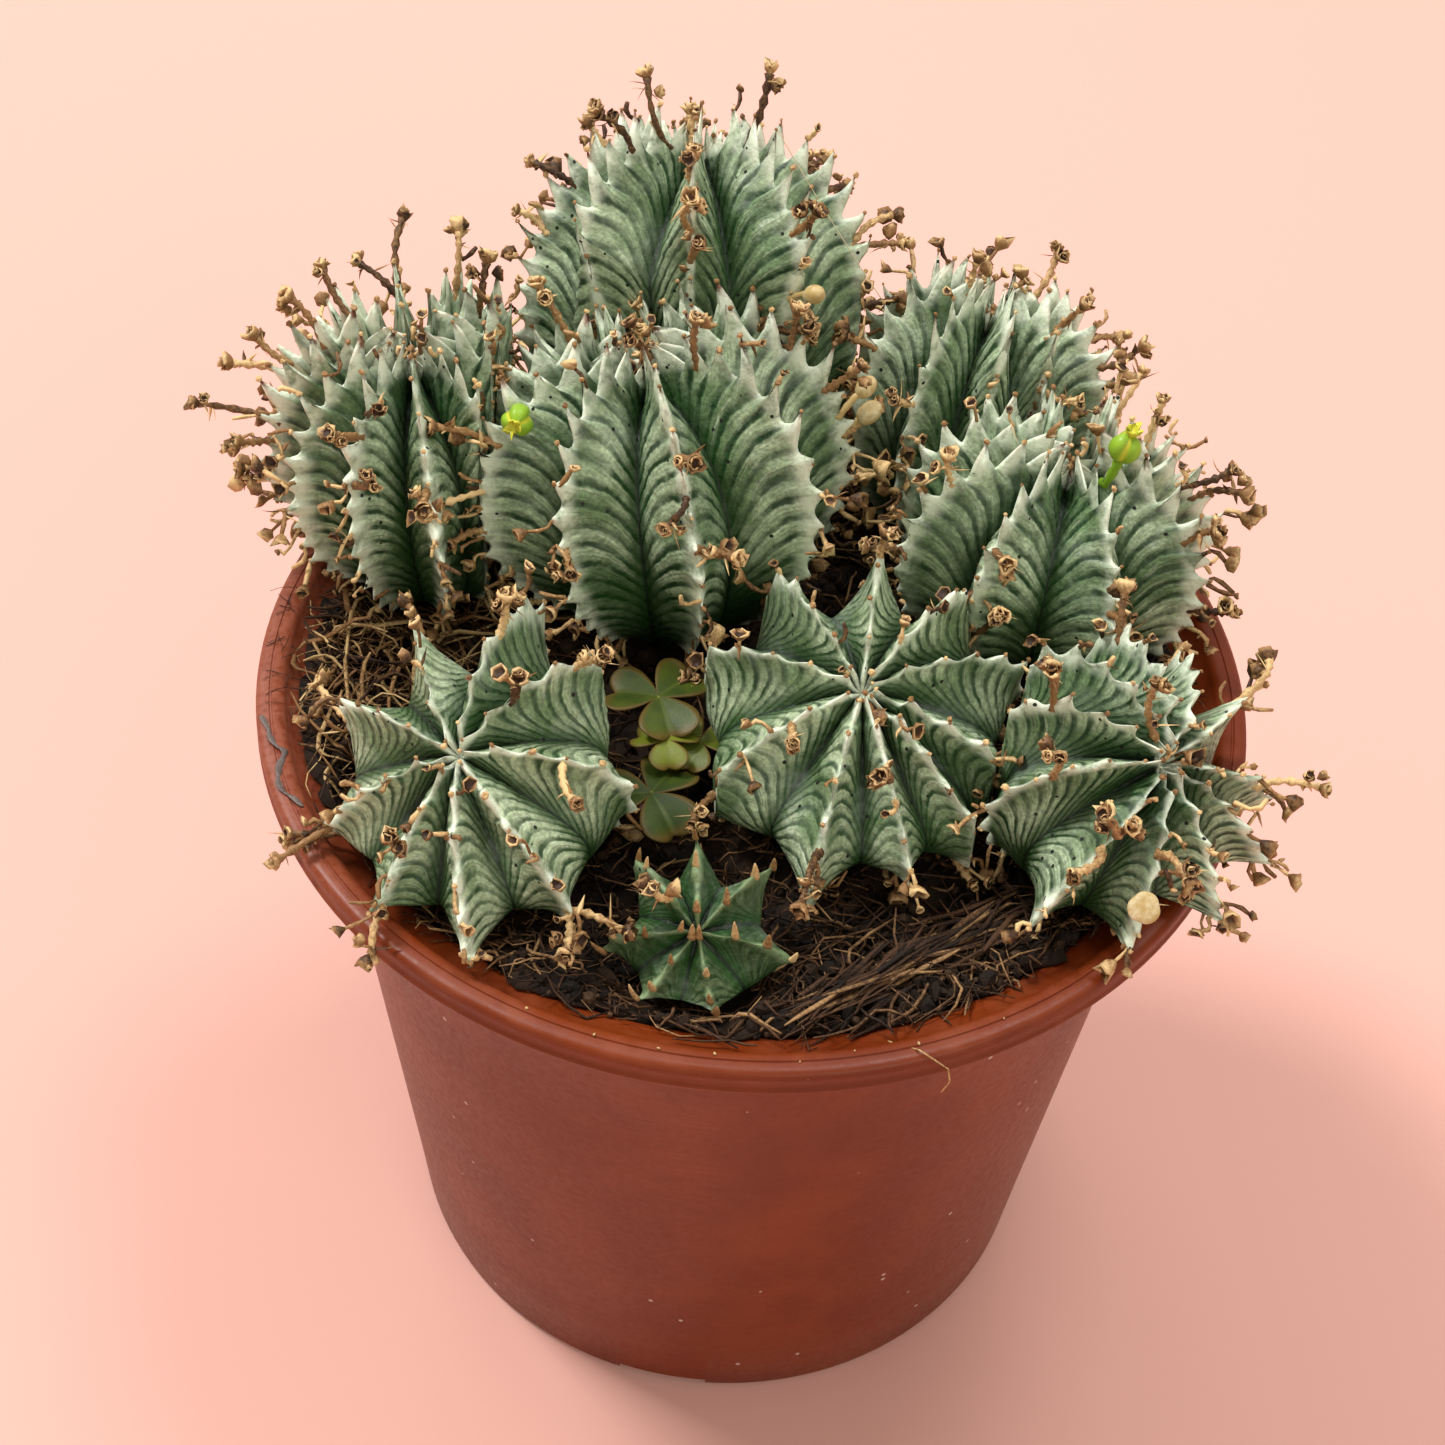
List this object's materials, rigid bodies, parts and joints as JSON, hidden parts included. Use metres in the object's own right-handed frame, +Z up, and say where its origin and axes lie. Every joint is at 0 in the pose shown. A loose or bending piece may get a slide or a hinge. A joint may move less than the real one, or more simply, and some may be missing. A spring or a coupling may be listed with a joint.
{
  "type": "potted african milk barrel",
  "caption": "Clump of ribbed, toothed succulent stems with dried flower stalks in soil, in a round collared plastic nursery pot; stands as a potted plant.",
  "frame": {"origin": "centre of the pot's flat base", "axes": "+Z up along the pot's axis, -Y towards the picture's near side, +X to its right"},
  "size_m": [0.222, 0.2074, 0.2423],
  "materials": {
    "pot": "semi-gloss moulded plastic",
    "soil": "loose peat and coir",
    "flesh": "waxy skin with pale bloom",
    "weed": "thin leaf"
  },
  "bodies": {
    "root": {"pot": "pot", "soil": "soil", "stem_1": "flesh", "stem_2": "flesh", "stem_3": "flesh", "stem_4": "flesh", "stem_5": "flesh", "stem_6": "flesh", "stem_7": "flesh", "stem_8": "flesh", "stem_9": "flesh", "weed": "weed"}
  },
  "joints": []
}
